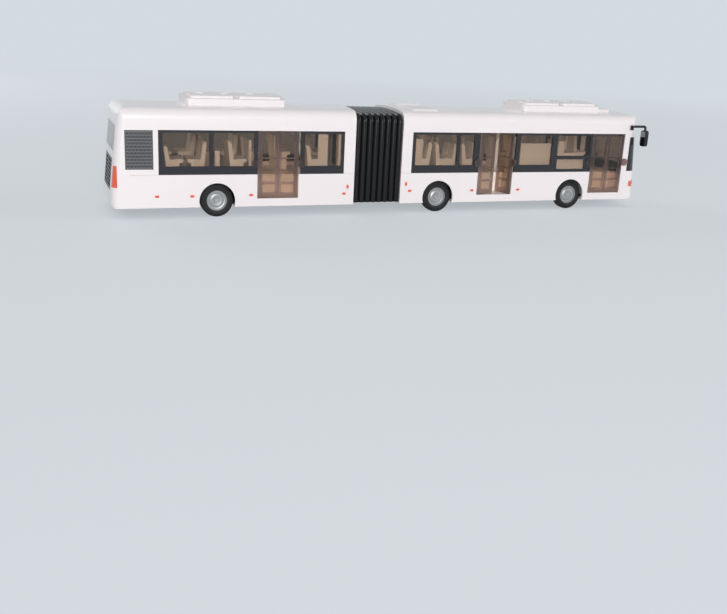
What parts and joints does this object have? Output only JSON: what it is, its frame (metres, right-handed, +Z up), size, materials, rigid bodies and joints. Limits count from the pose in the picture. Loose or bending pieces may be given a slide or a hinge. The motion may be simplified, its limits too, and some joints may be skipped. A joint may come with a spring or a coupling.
{
  "type": "toy articulated bus",
  "caption": "Die-cast toy of an articulated city bus: hollow cars with smoked glazing, seats, inward-swinging door leaves, rolling axles and a pivot inside pleated bellows.",
  "frame": {"origin": "on the ground under the middle of the overall length, on the centre plane", "axes": "+X forward, +Y to the off side (the doors are at -Y), +Z up"},
  "size_m": [0.3484, 0.0624, 0.0686],
  "materials": {
    "white_body": "gloss",
    "white_plastic": "gloss",
    "tray_plastic": "satin",
    "black_plastic": "matte",
    "band_black": "gloss",
    "smoked_glazing": "gloss",
    "door_plastic": "gloss",
    "grille_grey": "matte",
    "tyre": "matte",
    "hub": "satin",
    "steel": "satin",
    "bellows": "satin",
    "lamp_clear": "gloss",
    "lamp_orange": "gloss",
    "sign_white": "satin"
  },
  "bodies": {
    "front_car": {"bellows": "bellows", "dashboard": "black_plastic", "front_air_conditioner": "white_plastic", "front_body": "white_body", "front_chassis": "black_plastic", "front_display": "band_black", "front_door_wells": "tray_plastic", "front_indicators": "lamp_orange", "front_interior": "tray_plastic", "front_number_plate": "sign_white", "front_roof_fans": "white_plastic", "front_screw_socket": "black_plastic", "front_seats": "tray_plastic", "front_side_markers": "lamp_orange", "front_skirt": "white_body", "front_window_frames": "band_black", "front_window_panes": "smoked_glazing", "headlamps": "lamp_clear", "left_mirror": "black_plastic", "pivot_pin": "steel", "right_mirror": "black_plastic", "roof_hatches": "white_plastic", "side_sign": "sign_white", "windscreen": "smoked_glazing", "windscreen_frame": "band_black"},
    "rear_car": {"engine_grille": "grille_grey", "rear_air_conditioner": "white_plastic", "rear_body": "white_body", "rear_chassis": "black_plastic", "rear_door_wells": "tray_plastic", "rear_interior": "tray_plastic", "rear_number_plate": "sign_white", "rear_roof_fans": "white_plastic", "rear_screw_socket": "black_plastic", "rear_seats": "tray_plastic", "rear_side_markers": "lamp_orange", "rear_skirt": "white_body", "rear_window": "smoked_glazing", "rear_window_frame": "band_black", "rear_window_frames": "band_black", "rear_window_panes": "smoked_glazing", "side_grilles": "grille_grey", "tail_lamps": "lamp_orange"},
    "rear_wheels": {"rear_axle_shaft": "steel", "rear_hubs": "hub", "rear_tyres": "tyre"},
    "middle_wheels": {"middle_axle_shaft": "steel", "middle_hubs": "hub", "middle_tyres": "tyre"},
    "front_wheels": {"front_axle_shaft": "steel", "front_hubs": "hub", "front_tyres": "tyre"},
    "rear_door_rear": {"rear_door_rear_leaf": "door_plastic"},
    "rear_door_front": {"rear_door_front_leaf": "door_plastic"},
    "middle_door_rear": {"middle_door_rear_leaf": "door_plastic"},
    "middle_door_front": {"middle_door_front_leaf": "door_plastic"},
    "front_door_rear": {"front_door_rear_leaf": "door_plastic"},
    "front_door_front": {"front_door_front_leaf": "door_plastic"}
  },
  "joints": [
    {"name": "articulation", "type": "hinge", "parent": "front_car", "child": "rear_car", "pos_m": [-0.01665, 0, 0.0088], "axis": [0, 0, 1], "range_deg": [-40, 40], "deforming": ["bellows"]},
    {"name": "rear_axle", "type": "hinge", "parent": "rear_car", "child": "rear_wheels", "pos_m": [-0.115, 0, 0.0094], "axis": [0, 1, 0], "continuous": true},
    {"name": "middle_axle", "type": "hinge", "parent": "front_car", "child": "middle_wheels", "pos_m": [0.0244, 0, 0.0094], "axis": [0, 1, 0], "continuous": true},
    {"name": "front_axle", "type": "hinge", "parent": "front_car", "child": "front_wheels", "pos_m": [0.1207, 0, 0.0094], "axis": [0, 1, 0], "continuous": true},
    {"name": "rear_door_rear_hinge", "type": "hinge", "parent": "rear_car", "child": "rear_door_rear", "pos_m": [-0.09075, -0.02565, 0.0301], "axis": [0, 0, 1], "range_deg": [0, 85]},
    {"name": "rear_door_front_hinge", "type": "hinge", "parent": "rear_car", "child": "rear_door_front", "pos_m": [-0.06765, -0.02565, 0.0301], "axis": [0, 0, -1], "range_deg": [0, 85]},
    {"name": "middle_door_rear_hinge", "type": "hinge", "parent": "front_car", "child": "middle_door_rear", "pos_m": [0.0523, -0.02565, 0.0301], "axis": [0, 0, 1], "range_deg": [-10, 75]},
    {"name": "middle_door_front_hinge", "type": "hinge", "parent": "front_car", "child": "middle_door_front", "pos_m": [0.0754, -0.02565, 0.0301], "axis": [0, 0, -1], "range_deg": [-68, 17]},
    {"name": "front_door_rear_hinge", "type": "hinge", "parent": "front_car", "child": "front_door_rear", "pos_m": [0.13545, -0.02565, 0.0301], "axis": [0, 0, 1], "range_deg": [0, 85]},
    {"name": "front_door_front_hinge", "type": "hinge", "parent": "front_car", "child": "front_door_front", "pos_m": [0.15855, -0.02565, 0.0301], "axis": [0, 0, -1], "range_deg": [0, 85]}
  ]
}
